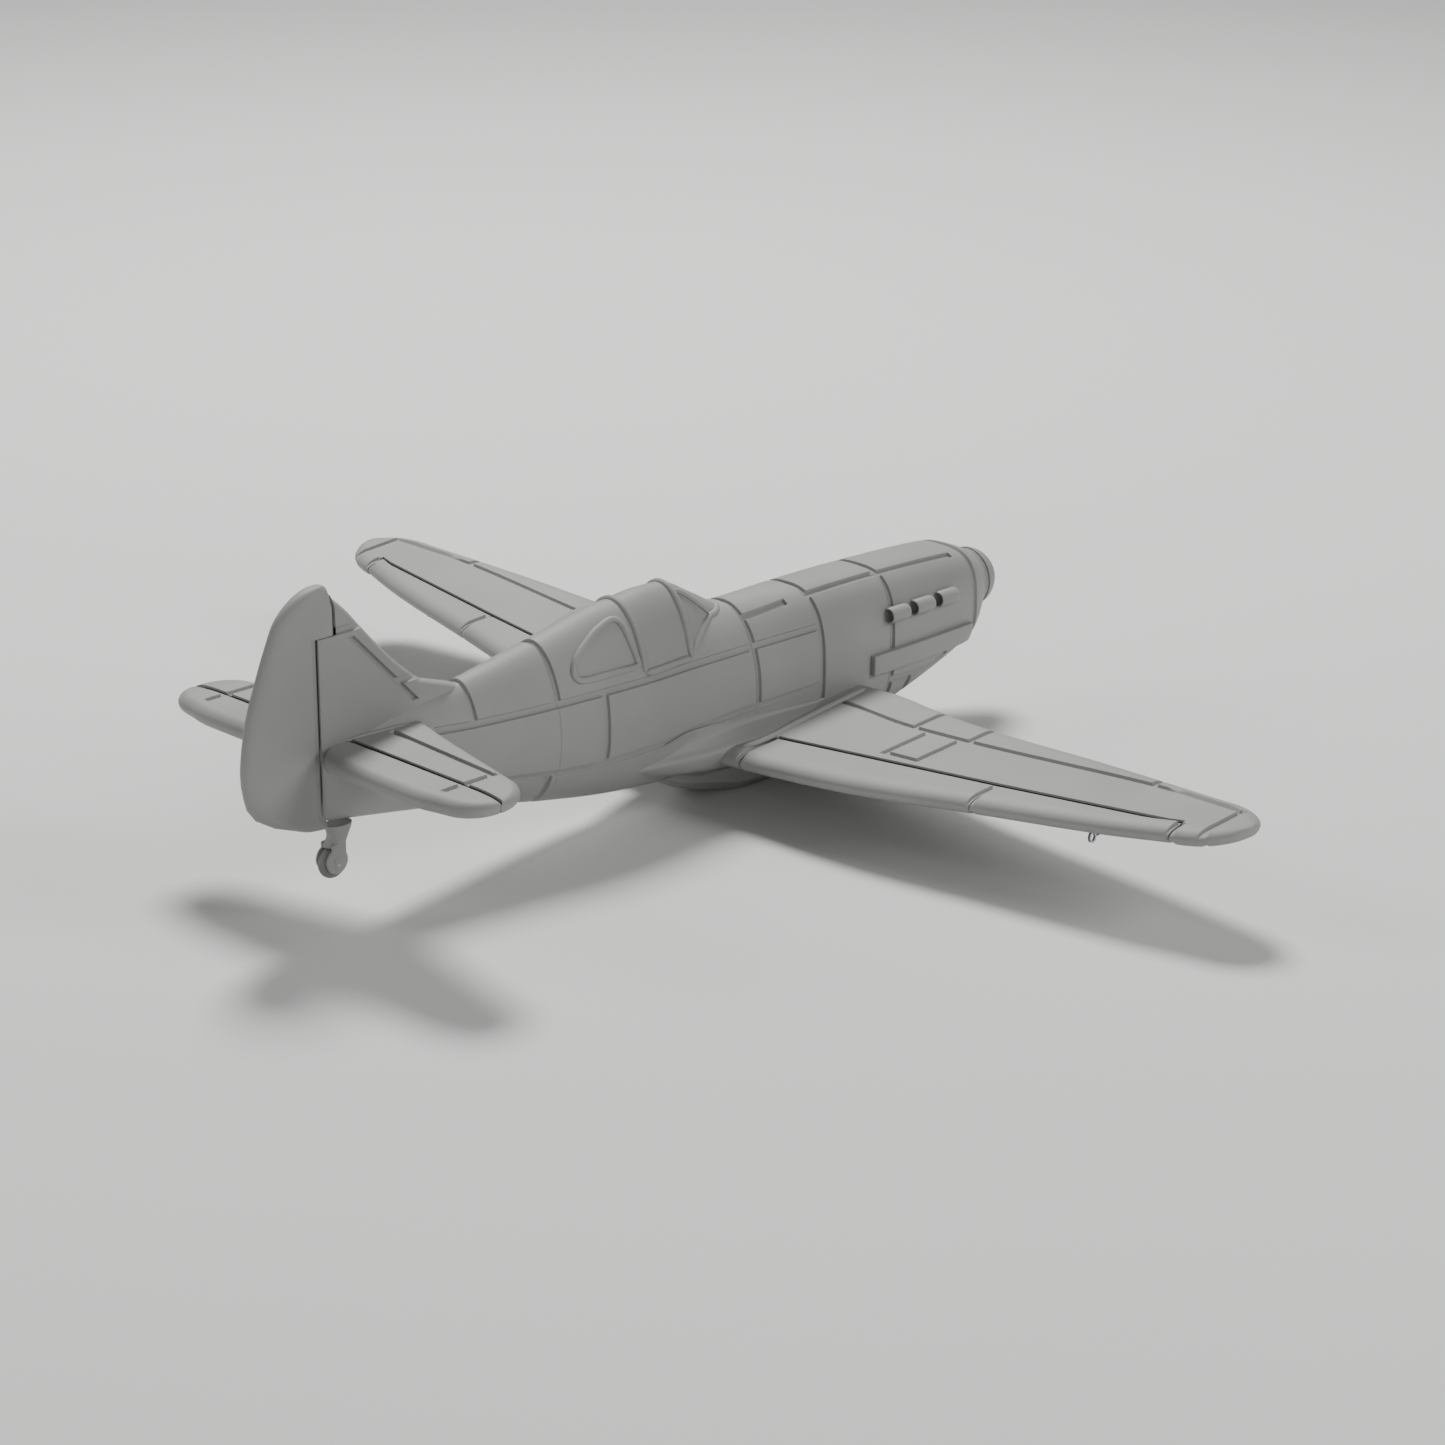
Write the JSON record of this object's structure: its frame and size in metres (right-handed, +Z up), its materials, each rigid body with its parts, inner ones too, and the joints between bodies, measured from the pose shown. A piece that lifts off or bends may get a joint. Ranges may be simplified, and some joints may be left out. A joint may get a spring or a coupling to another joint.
{
  "type": "radio-controlled warbird",
  "caption": "Micro radio-controlled fighter aircraft: low wing, inline nose, moulded shell body, working ailerons, flaps, elevator, rudder and steerable tail wheel.",
  "frame": {"origin": "middle of the span and of the length, on the plane of the radiator scoop's flat bottom", "axes": "+X to the nose, +Y to the port wing tip, +Z up"},
  "size_m": [0.4099, 0.507, 0.1317],
  "materials": {
    "airframe_shell": "matte grey, fine grain",
    "servo_plastic": "satin black",
    "moulded_parts": "satin dark grey",
    "steel_wire": "drawn wire",
    "motor_can": "turned",
    "motor_winding": "enamelled copper wire",
    "carbon_tube": "pultruded carbon fibre",
    "battery_wrap": "shrunk film",
    "circuit_board": "coated board",
    "wheel_rubber": "foam rubber"
  },
  "bodies": {
    "airframe": {"fin": "airframe_shell", "cowl_ring": "airframe_shell", "nose_section": "airframe_shell", "centre_section": "airframe_shell", "cockpit_section": "airframe_shell", "tail_section": "airframe_shell", "canopy_hood": "airframe_shell", "windscreen": "airframe_shell", "radiator_scoop": "airframe_shell", "gun_panel_right": "airframe_shell", "tailplane_left": "airframe_shell", "tailplane_right": "airframe_shell", "side_fairing_left": "airframe_shell", "side_fairing_right": "airframe_shell", "rear_window_left": "airframe_shell", "rear_window_right": "airframe_shell", "wing_left": "airframe_shell", "wing_right": "airframe_shell", "exhaust_left": "airframe_shell", "exhaust_right": "airframe_shell", "elevator_servo": "servo_plastic", "rudder_servo": "servo_plastic", "flap_servo_left": "servo_plastic", "flap_servo_right": "servo_plastic", "aileron_servo_left": "servo_plastic", "aileron_servo_right": "servo_plastic", "motor_mount": "moulded_parts", "equipment_tray": "moulded_parts", "motor_stator": "motor_winding", "spar_tube": "carbon_tube", "battery": "battery_wrap", "speed_controller": "circuit_board", "receiver": "circuit_board"},
    "spinner": {"spinner": "airframe_shell", "spinner_backplate": "moulded_parts", "motor_bell": "motor_can"},
    "battery_hatch": {"battery_hatch": "airframe_shell"},
    "aileron_right": {"aileron_right": "airframe_shell"},
    "aileron_left": {"aileron_left": "airframe_shell"},
    "flap_right": {"flap_right": "airframe_shell"},
    "flap_left": {"flap_left": "airframe_shell"},
    "elevator": {"elevator_left": "airframe_shell", "elevator_right": "airframe_shell", "elevator_joiner": "steel_wire"},
    "rudder": {"rudder": "airframe_shell"},
    "tailwheel_fork": {"tailwheel_leg": "airframe_shell", "tailwheel_axle": "steel_wire"},
    "tailwheel": {"tailwheel": "wheel_rubber"},
    "elevator_arm": {"elevator_arm": "servo_plastic"},
    "elevator_pushrod": {"elevator_pushrod": "steel_wire"},
    "rudder_arm": {"rudder_arm": "servo_plastic"},
    "rudder_pushrod": {"rudder_pushrod": "steel_wire"},
    "flap_arm_left": {"flap_arm_left": "servo_plastic"},
    "flap_pushrod_left": {"flap_pushrod_left": "steel_wire"},
    "flap_arm_right": {"flap_arm_right": "servo_plastic"},
    "flap_pushrod_right": {"flap_pushrod_right": "steel_wire"},
    "aileron_arm_left": {"aileron_arm_left": "servo_plastic"},
    "aileron_pushrod_left": {"aileron_pushrod_left": "steel_wire"},
    "aileron_arm_right": {"aileron_arm_right": "servo_plastic"},
    "aileron_pushrod_right": {"aileron_pushrod_right": "steel_wire"}
  },
  "joints": [
    {"name": "spinner_spin", "type": "hinge", "parent": "airframe", "child": "spinner", "pos_m": [0.192, 0, 0.0545], "axis": [1, 0, 0], "continuous": true},
    {"name": "hatch_lift", "type": "hinge", "parent": "airframe", "child": "battery_hatch", "pos_m": [0.12, 0, 0.07634], "axis": [0, 1, 0], "range_deg": [0, 100]},
    {"name": "aileron_right_hinge", "type": "hinge", "parent": "airframe", "child": "aileron_right", "pos_m": [0.0502, -0.1885, 0.03478], "axis": [-0.091, 0.9934, -0.0702], "range_deg": [-22, 22]},
    {"name": "aileron_arm_right_turn", "type": "hinge", "parent": "airframe", "child": "aileron_arm_right", "pos_m": [0.07609, -0.18614, 0.03462], "axis": [-0.091, 0.9934, -0.0702], "range_deg": [-23, 23]},
    {"name": "aileron_rod_right_slide", "type": "slide", "parent": "airframe", "child": "aileron_pushrod_right", "axis": [0.9959, 0.0907, -0.0064], "range_m": [-0.0037, 0.0037]},
    {"name": "aileron_left_hinge", "type": "hinge", "parent": "airframe", "child": "aileron_left", "pos_m": [0.0502, 0.1885, 0.03478], "axis": [0.091, 0.9934, 0.0702], "range_deg": [-22, 22]},
    {"name": "aileron_arm_left_turn", "type": "hinge", "parent": "airframe", "child": "aileron_arm_left", "pos_m": [0.07609, 0.18614, 0.03462], "axis": [0.091, 0.9934, 0.0702], "range_deg": [-23, 23]},
    {"name": "aileron_rod_left_slide", "type": "slide", "parent": "airframe", "child": "aileron_pushrod_left", "axis": [0.9959, -0.0907, -0.0064], "range_m": [-0.0037, 0.0037]},
    {"name": "flap_right_hinge", "type": "hinge", "parent": "airframe", "child": "flap_right", "pos_m": [0.04022, -0.06375, 0.02621], "axis": [0.0738, -0.995, 0.0674], "range_deg": [0, 40]},
    {"name": "flap_arm_right_turn", "type": "hinge", "parent": "airframe", "child": "flap_arm_right", "pos_m": [0.06715, -0.06176, 0.02608], "axis": [0.0738, -0.995, 0.0674], "range_deg": [-1, 41]},
    {"name": "flap_rod_right_slide", "type": "slide", "parent": "airframe", "child": "flap_pushrod_right", "axis": [0.9973, 0.0737, -0.005], "range_m": [-0.0003, 0.0065]},
    {"name": "flap_left_hinge", "type": "hinge", "parent": "airframe", "child": "flap_left", "pos_m": [0.04022, 0.06375, 0.02621], "axis": [-0.0738, -0.995, -0.0674], "range_deg": [0, 40]},
    {"name": "flap_arm_left_turn", "type": "hinge", "parent": "airframe", "child": "flap_arm_left", "pos_m": [0.06715, 0.06176, 0.02608], "axis": [-0.0738, -0.995, -0.0674], "range_deg": [-1, 41]},
    {"name": "flap_rod_left_slide", "type": "slide", "parent": "airframe", "child": "flap_pushrod_left", "axis": [0.9973, -0.0737, -0.005], "range_m": [-0.0003, 0.0065]},
    {"name": "elevator_hinge", "type": "hinge", "parent": "airframe", "child": "elevator", "pos_m": [-0.1575, 0, 0.06625], "axis": [0, 1, 0], "range_deg": [-25, 25]},
    {"name": "elevator_arm_turn", "type": "hinge", "parent": "airframe", "child": "elevator_arm", "pos_m": [-0.026, 0, 0.04825], "axis": [0, 1, 0], "range_deg": [-26, 26]},
    {"name": "elevator_rod_slide", "type": "slide", "parent": "airframe", "child": "elevator_pushrod", "axis": [1, 0, 0], "range_m": [-0.0042, 0.0042]},
    {"name": "rudder_hinge", "type": "hinge", "parent": "airframe", "child": "rudder", "pos_m": [-0.1715, 0, 0.05], "axis": [0, 0, 1], "range_deg": [-25, 25]},
    {"name": "rudder_arm_turn", "type": "hinge", "parent": "airframe", "child": "rudder_arm", "pos_m": [-0.074, 0, 0.05], "axis": [0, 0, 1], "range_deg": [-26, 26]},
    {"name": "rudder_rod_slide", "type": "slide", "parent": "airframe", "child": "rudder_pushrod", "axis": [1, 0, 0], "range_m": [-0.0042, 0.0042]},
    {"name": "tailwheel_steer", "type": "hinge", "parent": "airframe", "child": "tailwheel_fork", "pos_m": [-0.1605, 0, 0.03], "axis": [0, 0, 1], "range_deg": [-26, 26]},
    {"name": "tailwheel_spin", "type": "hinge", "parent": "tailwheel_fork", "child": "tailwheel", "pos_m": [-0.164, 0, 0.022], "axis": [0, 1, 0], "continuous": true}
  ],
  "couplings": [
    {"joint": "aileron_arm_right_turn", "follows": "aileron_right_hinge", "ratio": 1},
    {"joint": "aileron_rod_right_slide", "follows": "aileron_right_hinge", "m_per_rad": -0.009},
    {"joint": "aileron_left_hinge", "follows": "aileron_right_hinge", "ratio": -1},
    {"joint": "aileron_arm_left_turn", "follows": "aileron_right_hinge", "ratio": -1},
    {"joint": "aileron_rod_left_slide", "follows": "aileron_right_hinge", "m_per_rad": 0.009},
    {"joint": "flap_arm_right_turn", "follows": "flap_right_hinge", "ratio": 1},
    {"joint": "flap_rod_right_slide", "follows": "flap_right_hinge", "m_per_rad": 0.0088183},
    {"joint": "flap_left_hinge", "follows": "flap_right_hinge", "ratio": 1},
    {"joint": "flap_arm_left_turn", "follows": "flap_right_hinge", "ratio": 1},
    {"joint": "flap_rod_left_slide", "follows": "flap_right_hinge", "m_per_rad": 0.0088183},
    {"joint": "elevator_arm_turn", "follows": "elevator_hinge", "ratio": -1},
    {"joint": "elevator_rod_slide", "follows": "elevator_hinge", "m_per_rad": -0.009},
    {"joint": "rudder_arm_turn", "follows": "rudder_hinge", "ratio": 1},
    {"joint": "rudder_rod_slide", "follows": "rudder_hinge", "m_per_rad": -0.009},
    {"joint": "tailwheel_steer", "follows": "rudder_hinge", "ratio": 1}
  ]
}
